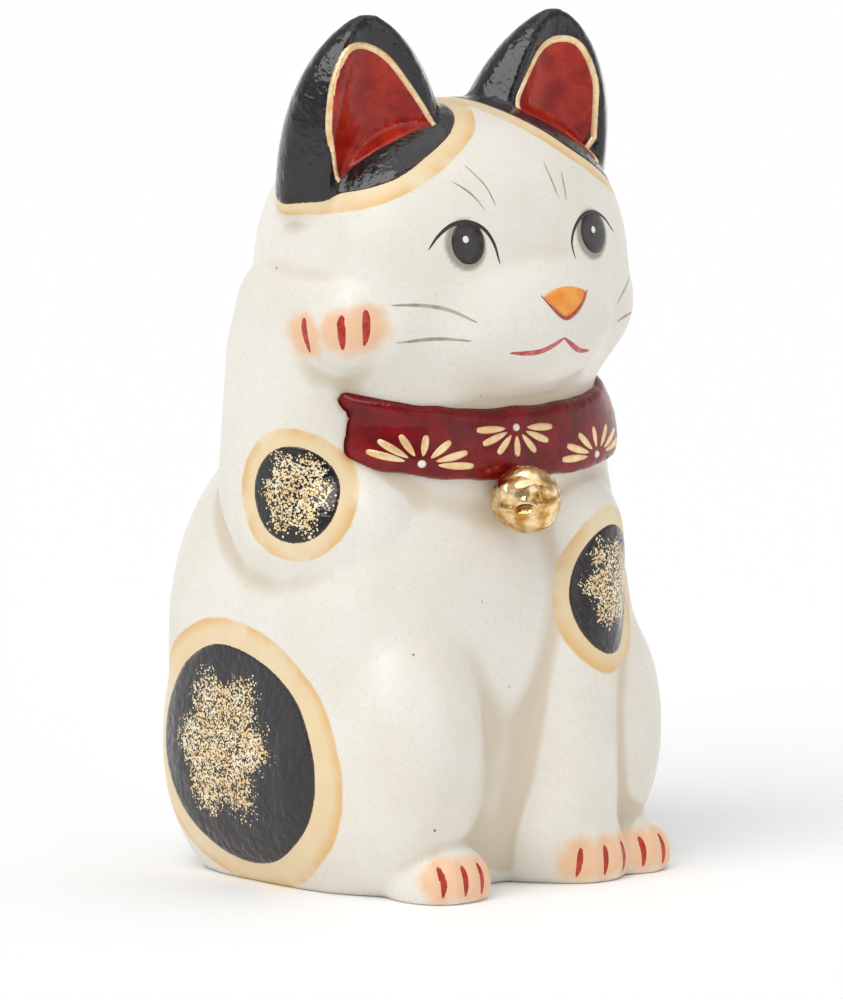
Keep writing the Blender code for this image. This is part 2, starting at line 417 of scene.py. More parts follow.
def add_stroke(bm, tree, spots, width, height=0.07, start=0.0, end=0.0, tear=1.0):
    """A brush stroke through the spots: a rounded ribbon, closed below.

    Start and end are the widths of its ends as shares of its middle. A tear over 1 puts its widest place
    nearer the end, and one under 1 nearer the start."""
    line = spline(spots)
    rows = []
    for i, spot in enumerate(line):
        here, out = tree.find_nearest(spot * MM)[:2]
        along = (line[min(i + 1, len(line) - 1)] - line[max(i - 1, 0)]).normalized()
        aside = out.cross(along).normalized()
        share = (i / (len(line) - 1)) ** tear
        ends = start + (end - start) * share
        half = width / 2 * (ends + (1 - ends) * math.sqrt(math.sin(math.pi * share))) + 0.02
        row = []
        for k in (-1, -0.6, 0, 0.6, 1):
            foot, normal = tree.find_nearest(here + aside * half * k * MM)[:2]
            row.append(bm.verts.new(foot + normal * ((1 - k * k) * (height + TUCK / 2) - TUCK / 2) * MM))
        row.append(bm.verts.new(here - out * 2 * TUCK * MM))
        rows.append(row)
    for low, high in zip(rows, rows[1:]):
        for k in range(6):
            j = (k + 1) % 6
            bm.faces.new((low[k], low[j], high[j], high[k]))
    bm.faces.new(rows[0][::-1])
    bm.faces.new(rows[-1])


def strokes(name, tree, lines, **brush):
    """Several brush strokes as one piece. Each line is its width and its spots."""
    bm = bmesh.new()
    for width, spots in lines:
        add_stroke(bm, tree, spots, width, **brush)
    bmesh.ops.recalc_face_normals(bm, faces=bm.faces)
    return object_from(name, bm)


def add_dab(bm, tree, middle, outline, facing, height=0.1, rings=6):
    """A dab of paint: an outline of (across, up) points about its middle, filled and gently domed."""
    across, up, out = axes_facing(facing)
    centre = tree.find_nearest(Vector(middle) * MM)[0]
    top = None
    rows = []
    for ring in range(rings, -1, -1):
        share = ring / rings
        rise = math.sqrt(1 - share**4) * (height + TUCK / 2) - TUCK / 2
        row = []
        for a, b in outline:
            start = centre + (across * a * share + up * b * share + out * 6) * MM
            foot, normal = tree.ray_cast(start, -out)[:2]
            row.append((foot, normal, rise))
        if ring == 0:
            foot, normal, rise = row[0]
            top = bm.verts.new(foot + normal * rise * MM)
        else:
            rows.append([bm.verts.new(foot + normal * rise * MM) for foot, normal, rise in row])
    count = len(outline)
    for low, high in zip(rows, rows[1:]):
        for k in range(count):
            j = (k + 1) % count
            bm.faces.new((low[k], low[j], high[j], high[k]))
    floor = bm.verts.new(centre - out * 6 * TUCK * MM)
    for k in range(count):
        j = (k + 1) % count
        bm.faces.new((rows[-1][k], rows[-1][j], top))
        bm.faces.new((rows[0][j], rows[0][k], floor))


def oval(half_width, half_height, steps=40, lean=0.0, square=2.0):
    points = []
    for i in range(steps):
        angle = math.tau * i / steps
        x, y = math.cos(angle), math.sin(angle)
        reach = (abs(x) ** square + abs(y) ** square) ** (-1 / square)
        points.append((half_width * x * reach + lean * y * half_height, half_height * y * reach))
    return points


# ---------------------------------------------------------------- materials


class Finish:
    """A material and shorthand for its nodes. Sizes are in millimetres on the object."""

    def __init__(self, name, **sockets):
        self.material = bpy.data.materials.new(name)
        self.material.use_nodes = True
        self.nodes = self.material.node_tree.nodes
        self.links = self.material.node_tree.links
        self.shader = self.nodes["Principled BSDF"]
        for socket, value in sockets.items():
            self.shader.inputs[socket.replace("_", " ")].default_value = value
        self.place = self.nodes.new("ShaderNodeTexCoord").outputs["Object"]

    def put(self, value, socket):
        if isinstance(value, bpy.types.NodeSocket):
            self.links.new(value, socket)
        elif isinstance(value, tuple) and len(value) == 3:
            socket.default_value = (*value, 1)
        else:
            socket.default_value = value

    def grain(self, size, detail=2.0, roughness=0.5, distortion=0.0):
        """Noise between 0 and 1 with spots of this size."""
        node = self.nodes.new("ShaderNodeTexNoise")
        node.inputs["Scale"].default_value = 1 / (size * MM)
        node.inputs["Detail"].default_value = detail
        node.inputs["Roughness"].default_value = roughness
        node.inputs["Distortion"].default_value = distortion
        self.links.new(self.place, node.inputs["Vector"])
        return node.outputs["Fac"]

    def cells(self, size, feature="F1"):
        """Scattered points: the distance to the nearest, in spacings, and two chances for it."""
        node = self.nodes.new("ShaderNodeTexVoronoi")
        node.feature = feature
        node.inputs["Scale"].default_value = 1 / (size * MM)
        self.links.new(self.place, node.inputs["Vector"])
        if feature == "DISTANCE_TO_EDGE":
            return node.outputs["Distance"], None, None
        split = self.nodes.new("ShaderNodeSeparateColor")
        self.links.new(node.outputs["Color"], split.inputs["Color"])
        return node.outputs["Distance"], split.outputs["Red"], split.outputs["Green"]

    def attribute(self, name):
        node = self.nodes.new("ShaderNodeAttribute")
        node.attribute_name = name
        return node.outputs["Fac"]

    def math(self, operation, first, second=0.0):
        node = self.nodes.new("ShaderNodeMath")
        node.operation = operation
        self.put(first, node.inputs[0])
        self.put(second, node.inputs[1])
        return node.outputs[0]

    def ramp(self, value, low, high, start=0.0, end=1.0):
        node = self.nodes.new("ShaderNodeMapRange")
        node.interpolation_type = "SMOOTHSTEP"
        self.put(value, node.inputs["Value"])
        for socket, number in zip(("From Min", "From Max", "To Min", "To Max"), (low, high, start, end)):
            self.put(number, node.inputs[socket])
        return node.outputs["Result"]

    def mix(self, share, first, second, blend="MIX"):
        node = self.nodes.new("ShaderNodeMix")
        node.data_type = "RGBA"
        node.blend_type = blend
        self.put(share, node.inputs["Factor"])
        self.put(first, node.inputs[6])
        self.put(second, node.inputs[7])
        return node.outputs[2]

    def bump(self, height, rise, strength=1.0):
        """Raises the surface by up to this many millimetres, and stacks on an earlier bump."""
        node = self.nodes.new("ShaderNodeBump")
        node.inputs["Distance"].default_value = rise * MM
        node.inputs["Strength"].default_value = strength
        self.put(height, node.inputs["Height"])
        normal = self.shader.inputs["Normal"]
        if normal.links:
            self.links.new(normal.links[0].from_socket, node.inputs["Normal"])
        self.links.new(node.outputs["Normal"], normal)
        self.links.new(node.outputs["Normal"], self.shader.inputs["Coat Normal"])

    def colour(self, value):
        self.put(value, self.shader.inputs["Base Color"])

    def set(self, socket, value):
        self.put(value, self.shader.inputs[socket])

    def on(self, *pieces):
        for obj in pieces:
            obj.data.materials.clear()
            obj.data.materials.append(self.material)


def white_glaze():
    """Cream-white satin glaze with specks, golden halos round the enamel, blushes on the toes, and warm
    painted shade in the creases, where the glaze also pools.
    """
    glaze = Finish("white_glaze", Coat_Weight=0.15, Coat_Roughness=0.3, Specular_IOR_Level=0.35)
    clouds = glaze.grain(16, detail=4)
    colour = glaze.mix(glaze.ramp(clouds, 0.35, 0.7), (0.82, 0.785, 0.71), (0.775, 0.735, 0.645))
    # Painted shade: warm brown in the creases, partly standing for glaze pooling there.
    colour = glaze.mix(glaze.ramp(glaze.attribute("crease_shade_and_pooling"), 0.1, 1, 0, 0.75), colour, (0.62, 0.52, 0.38))
    fine = glaze.grain(0.7, detail=3, roughness=0.7)
    colour = glaze.mix(glaze.ramp(fine, 0.5, 0.78, 0, 0.5), colour, (0.62, 0.57, 0.47))
    wash = glaze.ramp(glaze.attribute("wash"), 0, 1, 0, 0.8)
    colour = glaze.mix(wash, colour, (0.2, 0.18, 0.13))
    uneven = glaze.ramp(glaze.grain(2.5), 0.3, 0.7, -0.12, 0.12)
    blush = glaze.math("ADD", glaze.attribute("blush"), uneven)
    colour = glaze.mix(glaze.ramp(blush, 0.1, 0.9, 0, 0.85), colour, (0.86, 0.5, 0.27))
    ragged = glaze.ramp(glaze.grain(3, 3), 0.3, 0.7, -0.08, 0.08)
    depth = glaze.math("ADD", glaze.attribute("paint_depth"), ragged)
    halo = glaze.ramp(depth, -0.2, 0.25)
    gold = glaze.mix(glaze.ramp(depth, 2.4, 0.1), (0.81, 0.62, 0.35), (0.76, 0.46, 0.16))
    gold = glaze.mix(glaze.ramp(glaze.grain(10, 4), 0.42, 0.68), gold, (0.82, 0.68, 0.45))
    colour = glaze.mix(glaze.math("MULTIPLY", halo, 0.92), colour, gold)
    away, chance, size = glaze.cells(5.5)
    radius = glaze.ramp(size, 0, 1, 0.018, 0.055)
    near = glaze.math("LESS_THAN", away, radius)
    speck = glaze.math("MULTIPLY", near, glaze.math("LESS_THAN", chance, 0.5))
    colour = glaze.mix(glaze.math("MULTIPLY", speck, 0.8), colour, (0.12, 0.085, 0.06))
    glaze.colour(colour)
    glaze.set("Roughness", glaze.ramp(glaze.grain(4, 4), 0.2, 0.8, 0.3, 0.46))
    glaze.bump(glaze.grain(1.3, detail=2), 0.035)
    glaze.bump(glaze.grain(6, detail=2), 0.12)
    return glaze


def gilded_black(name):
    """Glossy black enamel with an orange-peel surface, dusted with gold where the gilding is dense."""
    black = Finish(name, Coat_Weight=0.6, Coat_Roughness=0.12, Specular_IOR_Level=0.25)
    clouds = black.ramp(black.grain(8, 4), 0.35, 0.75)
    colour = black.mix(clouds, (0.01, 0.008, 0.01), (0.022, 0.018, 0.019))
    colour = black.mix(black.ramp(black.attribute("depth"), 0.55, 0, 0, 0.6), colour, (0.1, 0.05, 0.025))
    away, chance, size = black.cells(0.4)
    dense = black.attribute("gilding")
    fleck = black.math("LESS_THAN", chance, dense)
    round_fleck = black.math("LESS_THAN", away, black.ramp(size, 0, 1, 0.34, 0.75))
    fleck = black.math("MULTIPLY", fleck, round_fleck)
    gold = black.mix(black.ramp(black.grain(3), 0.35, 0.65), (0.92, 0.66, 0.33), (0.97, 0.82, 0.55))
    black.colour(black.mix(fleck, colour, gold))
    black.set("Metallic", black.math("MULTIPLY", fleck, 0.35))
    black.set("Roughness", black.ramp(fleck, 0, 1, 0.2, 0.45))
    black.bump(fleck, 0.05)
    black.bump(black.grain(1.7, detail=2), 0.3)
    return black


def red_enamel(name, dark, light, peel=0.05):
    """Glossy red enamel that is darker where it lies thick, with brush streaks."""
    red = Finish(name, Coat_Weight=0.4, Coat_Roughness=0.1, Specular_IOR_Level=0.15)
    colour = red.mix(red.ramp(red.grain(5, 4, 0.6, 0.6), 0.35, 0.7), dark, light)
    red.colour(colour)
    red.set("Roughness", red.ramp(red.grain(2, 3), 0.3, 0.7, 0.22, 0.36))
    red.bump(red.grain(2.2, detail=3), peel)
    return red


def gold_paint(name, cracked):
    """Matt gold lustre, brushed on, with fine cracks where it is thick."""
    gold = Finish(name, Metallic=0.5, Coat_Weight=0.2, Coat_Roughness=0.25)
    colour = gold.mix(gold.ramp(gold.grain(2.2, 3), 0.3, 0.7), (0.84, 0.55, 0.26), (0.95, 0.74, 0.45))
    if cracked:
        crack = gold.ramp(gold.cells(2.3, "DISTANCE_TO_EDGE")[0], 0.022, 0.0)
        colour = gold.mix(gold.math("MULTIPLY", crack, 0.6), colour, (0.2, 0.1, 0.04))
    gold.colour(colour)
    gold.set("Roughness", gold.ramp(gold.grain(0.9, 3), 0.3, 0.7, 0.3, 0.5))
    gold.bump(gold.grain(0.7, 3), 0.03)
    return gold


def bell_gold():
    """Bright gold lustre over hammered clay, with painted shade in its dents and its sound hole."""
    gold = Finish("bell_gold", Metallic=1.0)
    colour = gold.mix(gold.ramp(gold.grain(3, 4), 0.38, 0.62), (0.55, 0.29, 0.08), (0.94, 0.72, 0.4))
    # Painted shade: dark brown in the sound hole and a little in the dents.
    colour = gold.mix(gold.ramp(gold.attribute("hollow"), 0.2, 1, 0, 0.9), colour, (0.2, 0.08, 0.02))
    gold.colour(colour)
    gold.set("Roughness", gold.ramp(gold.grain(1.4, 4), 0.3, 0.75, 0.12, 0.34))
    gold.bump(gold.grain(0.9, 4), 0.1)
    return gold


def flat_paint(name, first, second, roughness=0.35, size=1.5):
    """Thin paint whose colour pools a little along the stroke."""
    paint = Finish(name, Coat_Weight=0.3, Coat_Roughness=0.15, Specular_IOR_Level=0.3)
    paint.colour(paint.mix(paint.ramp(paint.grain(size, 3), 0.35, 0.65), first, second))
    paint.set("Roughness", paint.ramp(paint.grain(1, 2), 0.3, 0.7, roughness - 0.06, roughness + 0.06))
    return paint


def bare_clay():
    """Unglazed, sanded clay with grog showing."""
    clay = Finish("bare_clay")
    colour = clay.mix(clay.ramp(clay.grain(3, 5), 0.35, 0.7), (0.62, 0.53, 0.42), (0.72, 0.65, 0.54))
    away, chance, _ = clay.cells(1.2)
    grog = clay.math("MULTIPLY", clay.math("LESS_THAN", away, 0.16), clay.math("LESS_THAN", chance, 0.3))
    clay.colour(clay.mix(grog, colour, (0.38, 0.27, 0.18)))
    clay.set("Roughness", clay.ramp(clay.grain(2, 3), 0.3, 0.7, 0.78, 0.95))
    clay.bump(clay.grain(0.5, 5), 0.06)
    return clay


# ---------------------------------------------------------------- the pieces

# Painted lines on the face, as (X, height).
RIGHT_LID = (
    (-23.6, 118.4), (-21.6, 120.9), (-19, 122.7), (-15.9, 123.2), (-12.8, 121.9), (-10.9, 119),
    (-10.3, 115.4),
)
LEFT_LID = (
    (8, 115.6), (7.9, 118.6), (9.4, 121.3), (12, 123.1), (15.3, 123.6), (18.6, 122.4), (21.6, 119.6),
)
NOSE = (
    (-3.7, 109.5), (-1.4, 110.5), (2.4, 111.1), (5.6, 110.7), (7.7, 109.8), (5.9, 108), (3.4, 106.2),
    (1.5, 105.6), (-0.2, 106.2), (-2.1, 107.9),
)
NOSE_MIDDLE = (1.8, 108.4)
NOSE_LINE = (
    (-4.1, 109.7), (-2.3, 107.8), (-0.3, 106), (1.5, 105.3), (3.5, 106), (6.1, 107.9), (8, 110),
)
MOUTH_RIGHT = ((-10.3, 99.5), (-7, 99.3), (-3.7, 99.5), (-0.9, 100.5), (1.4, 101.7))
MOUTH_LEFT = ((1.3, 101.8), (3.8, 100.3), (6.4, 99.1), (9.7, 98.7))
WHISKERS = (
    ((-30, 108.6), (-25, 108.5), (-20.3, 107.5), (-16.4, 105.2)),
    ((-28.8, 101.8), (-23, 102.3), (-17, 101.9)),
    ((22.7, 106), (25, 108), (28.5, 110.6)),
    ((23.6, 102.7), (27, 103.6), (30.5, 104)),
)
BROWS = (
    ((-13.1, 133.2), (-11.6, 131.2), (-10.3, 129.2), (-9.2, 125.8)),
    ((-16.7, 130.4), (-14.6, 128.8), (-13.1, 127.2), (-11.7, 124.9)),
    ((5.4, 133.2), (5.6, 130.7), (5.9, 128.4), (6.3, 126.6)),
    ((9.2, 131.4), (8.7, 129.6), (8.4, 127.6), (8.1, 126)),
)
# Each iris with its half width and height, and each painted highlight in it with its radius.
EYES = (((-16.2, 119.5), 3.5, 4.1), ((14.6, 120), 4.1, 4.1))
EYE_PAINTED_HIGHLIGHTS = (((-16.7, 120.1), 0.68), ((14.4, 120.4), 0.68))

# The grey wash round the irises: how it is shifted against them, and the part of the face that it can reach.
WASH_SHIFT = (-0.45, -0.35)
WASH_BEHIND, WASH_LOWEST, WASH_HIGHEST = -20, 108, 130

# Toes: the X of each claw mark along a foot, how high the marks reach, and the raised paw's marks as spots.
# A blush is full within the first distance from a mark, and gone at the second.
FEET = ((-25.6, -21.4, -17.2), (8, 13.4, 19), (24.9, 30))
CLAW_TOP, CLAW_FOOT = 7.0, 1.4
PAW_CLAWS = ((-38.2, -11.9, 102.7), (-37.2, -20.5, 103.5), (-33.8, -23.6, 104.5))
BLUSH_FULL, BLUSH_GONE = 1.8, 6.8

# Painted shade in the creases, partly glaze pooling: how often a hollowness is spread to its neighbours,
# and the millimetres that count as a full one.
CREASE_PASSES = 26
CREASE_FULL = 0.0085


def on_face(*places):
    return [face_spot(x, z) for x, z in places]


def claw_marks():
    """The X, top and foot of each claw mark on the three feet."""
    return [(x, CLAW_TOP, CLAW_FOOT) for foot in FEET for x in foot]


def crease_of(bm):
    """How hollow the surface is at each vertex, from -1 on ridges to 1 in creases. It sets the painted shade
    in the creases.
    """
    bm.normal_update()
    hollow = {}
    for v in bm.verts:
        around = [e.other_vert(v).co for e in v.link_edges]
        middle = sum(around, Vector()) / len(around)
        hollow[v] = (middle - v.co).dot(v.normal)
    for _ in range(CREASE_PASSES):
        spread = {}
        for v in bm.verts:
            around = sum(hollow[e.other_vert(v)] for e in v.link_edges)
            spread[v] = (hollow[v] + around) / (1 + len(v.link_edges))
        hollow = spread
    return {v: min(max(h / (CREASE_FULL * MM), -1), 1) for v, h in hollow.items()}


def halo_depth(spot):
    """Depth inside the golden halos, which reach past the black enamel by their own widths."""
    depth = max(patch_depth(patch, spot) + patch.halo for patch in PATCHES)
    if spot.z > EARS_FLOOR:
        depth = max(depth, ear_depth(spot) + EAR_HALO)
    return max(min(depth, 6), -6)


def blush_at(spot, marks):
    nearest = min((spot - mark).length for mark in marks)
    return 1 - smooth_step(nearest, BLUSH_FULL, BLUSH_GONE)


def wash_at(spot):
    """The soft grey wash round the irises, heavier below and on the cat's right."""
    if spot.y > WASH_BEHIND or not WASH_LOWEST < spot.z < WASH_HIGHEST:
        return 0
    strongest = 0
    for (x, z), half_width, half_height in EYES:
        across = (spot.x - x - WASH_SHIFT[0]) / half_width
        up = (spot.z - z - WASH_SHIFT[1]) / half_height
        strongest = max(strongest, 1 - smooth_step(math.hypot(across, up), 0.98, 1.28))
    return strongest


def paint_skin(skin):
    """Stores, at each vertex, what the glaze shows there."""
    bm = bmesh.new()
    bm.from_mesh(skin.data)
    names = ("crease_shade_and_pooling", "paint_depth", "blush", "wash")
    layers = {name: bm.verts.layers.float.new(name) for name in names}
    # The hollowness becomes painted shade in the creases, partly glaze pooling.
    crease_shade_and_pooling = crease_of(bm)
    marks = [face_spot(x, (top + foot) / 2 + 0.5) for x, top, foot in claw_marks()]
    marks += [Vector(claw) for claw in PAW_CLAWS]
    for v in bm.verts:
        spot = v.co / MM
        v[layers["crease_shade_and_pooling"]] = crease_shade_and_pooling[v]
        v[layers["paint_depth"]] = halo_depth(spot)
        v[layers["blush"]] = blush_at(spot, marks)
        v[layers["wash"]] = wash_at(spot)
    bm.to_mesh(skin.data)
    bm.free()


# Grooves pressed into the skin: the reach and depth of those by the claws and of the fold under the mouth's
# line, and the soft creases that part the raised arm from the chest and its paw from the cheek.
TOE_GROOVE, PAW_GROOVE, MOUTH_GROOVE = (1.1, 0.55), (1.1, 0.45), (1.6, 0.3)
MOUTH_FOLD = ((-9, 99.4), (-4, 99.5), (1.3, 101.4), (6, 99.2), (9, 98.8))
ARM_CREASES = (
    (((-31, -16.5, 76), (-31.8, -18.7, 71.5), (-32.2, -19.6, 68), (-32.6, -19.8, 65)), 2.2, 0.5),
    (((-31.2, -24, 106.5), (-31, -24, 104), (-30.8, -22.8, 100.5), (-30.6, -19, 97)), 1.8, 0.55),
)


def carve(skin):
    """Presses the creases of the arm, the grooves of the toes and the line of the mouth into the skin."""
    grooves = []
    for x, top, foot in claw_marks():
        grooves.append(([face_spot(x, z) for z in (foot, (top + foot) / 2, top)], *TOE_GROOVE))
    for claw in PAW_CLAWS:
        middle = Vector(claw)
        grooves.append(([middle - UP * 3, middle, middle + UP * 3], *PAW_GROOVE))
    grooves.append((on_face(*MOUTH_FOLD), *MOUTH_GROOVE))
    grooves += ARM_CREASES
    bm = bmesh.new()
    bm.from_mesh(skin.data)
    bm.normal_update()
    pushes = []
    for spots, reach, deep in grooves:
        line = spline(spots, 0.5)
        low = Vector(min(p[i] for p in line) - 3 * reach for i in range(3))
        high = Vector(max(p[i] for p in line) + 3 * reach for i in range(3))
        for v in bm.verts:
            spot = v.co / MM
            if all(low[i] < spot[i] < high[i] for i in range(3)):
                nearest = min((spot - p).length for p in line)
                pushes.append((v, v.normal * -deep * math.exp(-((nearest / reach) ** 2)) * MM))
    for v, push in pushes:
        v.co += push
    bm.to_mesh(skin.data)
    bm.free()


def recess_base(skin):
    """Lifts the skin's underside over the base slab, so that the bare slab and its vent show from below.

    Over the vent it is lifted further, so that the vent looks open."""
    slab = tree_of(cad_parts["base_slab"])
    low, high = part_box("base_slab")
    bm = bmesh.new()
    bm.from_mesh(skin.data)
    for v in bm.verts:
        if v.co.z > SOLE_HEIGHT * MM:
            continue
        centred = math.hypot(v.co.x, v.co.y)
        covered = slab.ray_cast(Vector((v.co.x, v.co.y, -MM)), UP)[0] is not None
        if centred < VENT_OPENING * MM:
            v.co.z = 6 * high[2]
        elif covered:
            v.co.z = high[2] + 0.2 * MM
    bm.to_mesh(skin.data)
    bm.free()


def gild(obj, density):
    """Stores how densely gold is dusted at each vertex."""
    layer = obj.data.attributes.new("gilding", "FLOAT", "POINT")
    layer.data.foreach_set("value", [density(v.co / MM) for v in obj.data.vertices])


def blossom(patch):
    """The dusted gold: a flower of six petals with soft edges, densest in its middle."""

    def density(spot):
        across, up, _ = patch_place(patch, spot)
        across -= patch.gilding_at[0]
        up -= patch.gilding_at[1]
        reach = math.hypot(across, up / 1.12) / patch.gilding
        angle = math.atan2(up, across)
        petal = abs(math.cos(3 * (angle - math.radians(60))))
        edge = 0.78 + 0.34 * petal**0.8 + wander(spot, 3, 0.1)
        return 1.15 * (1 - smooth_step(reach / edge, 0.6, 1.04))

    return density


def black_patches(finish):
    pieces = []
    for patch in PATCHES:
        piece = enamel(f"{patch.name}_patch", skin, lambda spot, p=patch: patch_depth(p, spot))
        gild(piece, blossom(patch))
        pieces.append((piece, "ear_enamel"))
        finish.on(piece)
    return pieces


def ear_black(side, finish):
    """The black of one ear and of the skirt about its foot."""
    name = "right_ear_black" if side < 0 else "left_ear_black"

    def depth(spot):
        if spot.z < EARS_FLOOR or (spot.x - EARS_MIDDLE) * side < 0.5:
            return FAR
        return ear_depth(spot)

    piece = enamel(name, skin, depth, lift=0.14)
    gild(piece, lambda spot: 0.0)
    finish.on(piece)
    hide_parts("right_ear" if side < 0 else "left_ear")
    return piece, "ear_enamel"


def ear_red(side, finish):
    """The red inside of one ear."""
    edge, floor = (RIGHT_RED, RIGHT_RED_FLOOR) if side < 0 else (LEFT_RED, LEFT_RED_FLOOR)
    outline = [(p.x, p.y) for p in spline([(a, b, 0) for a, b in edge], 1.5)]
    outline += [(p.x, p.y) for p in spline([(a, b, 0) for a, b in floor], 1.5)][1:-1]

    def depth(spot):
        if spot.z < RED_LOWEST or spot.x * side < RED_FROM_MIDDLE:
            return FAR
        across, up, out = ear_place(side, spot)
        return depth_in(outline, across, up) if out >= 0.5 else FAR

    piece = enamel("right_ear_red" if side < 0 else "left_ear_red", skin, depth, lift=0.34, edge=0.5)
    finish.on(piece)
    return piece, "ear_enamel"


def ear_rim(side, finish):
    """The gold line round the ear's red, broken only along its foot."""
    spots = [ear_spot(side, across, up) for across, up in (RIGHT_RED if side < 0 else LEFT_RED)]
    name = "right_ear_rim" if side < 0 else "left_ear_rim"
    piece = strokes(name, skin_tree, [(1.7, spots)], height=0.55, start=0.7, end=0.7)
    finish.on(piece)
    return piece, "gold_lustre"


def make_collar(finish):
    """The collar: a rounded band of enamelled clay round the neck."""
    trunk = wiped_skin("trunk_skin", TRUNK_NODES)
    collar = enamel("collar_band", trunk, collar_depth, COLLAR_THICKNESS, COLLAR_ROUNDING, COLLAR_CALM)
    bpy.data.objects.remove(trunk)
    finish.on(collar)
    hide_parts("collar")
    return collar


# Flowers on the collar: the direction that each faces, in degrees from the front towards the cat's left, how
# high its heart lies on the band, and whether its petals hang down. Round the back they take turns. Petals
# start and end on two half ovals about the heart.
FRONT_FLOWERS = ((-41, -3.5, False), (-4, 3.3, True), (36, -3.4, False))
BACK_FLOWERS = tuple((76 + 40 * k, -3.4 if k % 2 else 3.3, k % 2 == 0) for k in range(5))
PETAL_START, PETAL_REACH = (3, 1.4), (9.9, 5)
PETALS = 7
COLLAR_RADIUS = 31


def collar_spot(tree, angle, height):
    """The spot on the collar in this direction from the neck, this high above its middle line."""
    turn, slope = math.radians(angle), math.radians(COLLAR_SLOPE)
    out = Vector((math.sin(turn), -math.cos(turn), 0))
    out.z = out.y * math.tan(slope)
    out.normalize()
    lift = Vector((0, -math.sin(slope), math.cos(slope))) * height
    start = collar_middle + lift
    hit = tree.ray_cast((start + out * 60) * MM, -out)[0]
    return hit / MM


def flower(bm_gold, bm_white, tree, angle, height, hanging):
    """Half a chrysanthemum: petals that fan out from a white dot."""
    way = -1 if hanging else 1
    for k in range(PETALS):
        fan = math.radians(4 + 172 * k / (PETALS - 1))
        spots = []
        for share in (0, 0.35, 0.7, 1):
            across = math.cos(fan) * (PETAL_START[0] + (PETAL_REACH[0] - PETAL_START[0]) * share)
            up = way * math.sin(fan) * (PETAL_START[1] + (PETAL_REACH[1] - PETAL_START[1]) * share)
            spots.append(collar_spot(tree, angle + math.degrees(across / COLLAR_RADIUS), height + up))
        add_stroke(bm_gold, tree, spots, 1.6, height=0.12, start=0.1, end=0.45, tear=1.35)
    heart = collar_spot(tree, angle, height)
    out = Vector((math.sin(math.radians(angle)), -math.cos(math.radians(angle)), 0))
    add_dab(bm_white, tree, heart, oval(0.85, 0.75, 20), out, height=0.22, rings=3)


def collar_flowers(collar, gold, white):
    tree = tree_of(collar)
    petals, hearts = bmesh.new(), bmesh.new()
    for angle, height, hanging in FRONT_FLOWERS + BACK_FLOWERS:
        flower(petals, hearts, tree, angle, height, hanging)
    made = []
    for name, bm, finish, slot in (
        ("collar_petals", petals, gold, "gold_lustre"),
        ("collar_hearts", hearts, white, "white_glaze"),
    ):
        bmesh.ops.recalc_face_normals(bm, faces=bm.faces)
        piece = object_from(name, bm)
        finish.on(piece)
        made.append((piece, slot))
    return made


# The bell: the way its sound hole is turned, how much its ridge tilts, the ridge's height and half width,
# how far the ball lies inside the CAD model's, and the depths of its dents, crumples and hole.
BELL_TURN = math.radians(-46)
BELL_TILT = math.radians(12)
BELL_RIDGE, BELL_RIDGE_WIDTH = 0.5, 0.09
BELL_INSET = 0.6
BELL_DENT, BELL_CRUMPLE, BELL_HOLE = 0.4, 0.16, 1.6


def make_bell(finish):
    """A hammered round bell with a ridge about its middle and a sound hole, darkened with painted shade."""
    low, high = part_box("bell")
    middle = Vector((low[i] + high[i]) / 2 for i in range(3)) / MM
    radius = (high[2] - low[2]) / MM / 2
    bm = bmesh.new()
    bmesh.ops.create_uvsphere(bm, u_segments=96, v_segments=64, radius=1)
    layer = bm.verts.layers.float.new("hollow")
    tilt = Matrix.Rotation(BELL_TILT, 3, "Y")
    front = Vector((math.sin(BELL_TURN), -math.cos(BELL_TURN), 0))
    aside = Vector((math.cos(BELL_TURN), math.sin(BELL_TURN), 0))
    for v in bm.verts:
        way = v.co.normalized()
        level = (tilt @ way).z
        ridge = math.exp(-((level / BELL_RIDGE_WIDTH) ** 2)) * BELL_RIDGE
        near = noise.voronoi(way * 1.7 + Vector((3, 1, 7)))[0]
        dent = (near[1] - near[0]) * 0.6
        hole = math.hypot(way.dot(aside), level * 2.2) / 0.34 if way.dot(front) > 0 else 9
        sink = 1 - smooth_step(hole, 0.5, 1.0)
        crumple = noise.noise(way * 5) * BELL_CRUMPLE
        size = radius - BELL_INSET + ridge + min(dent, BELL_DENT) + crumple - sink * BELL_HOLE
        # Painted shade for the gold: full in the sound hole, a little in the dents.
        v[layer] = min(1, sink + smooth_step(0.12 - dent, 0, 0.12) * 0.35)
        v.co = (middle + way * size) * MM
    cad_low, cad_high = cad_box
    for v in bm.verts:
        v.co = Vector(min(max(v.co[i], cad_low[i]), cad_high[i]) for i in range(3))
    bell = object_from("hammered_bell", bm)
    finish.on(bell)
    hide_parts("bell")
    return bell, "gold_lustre"


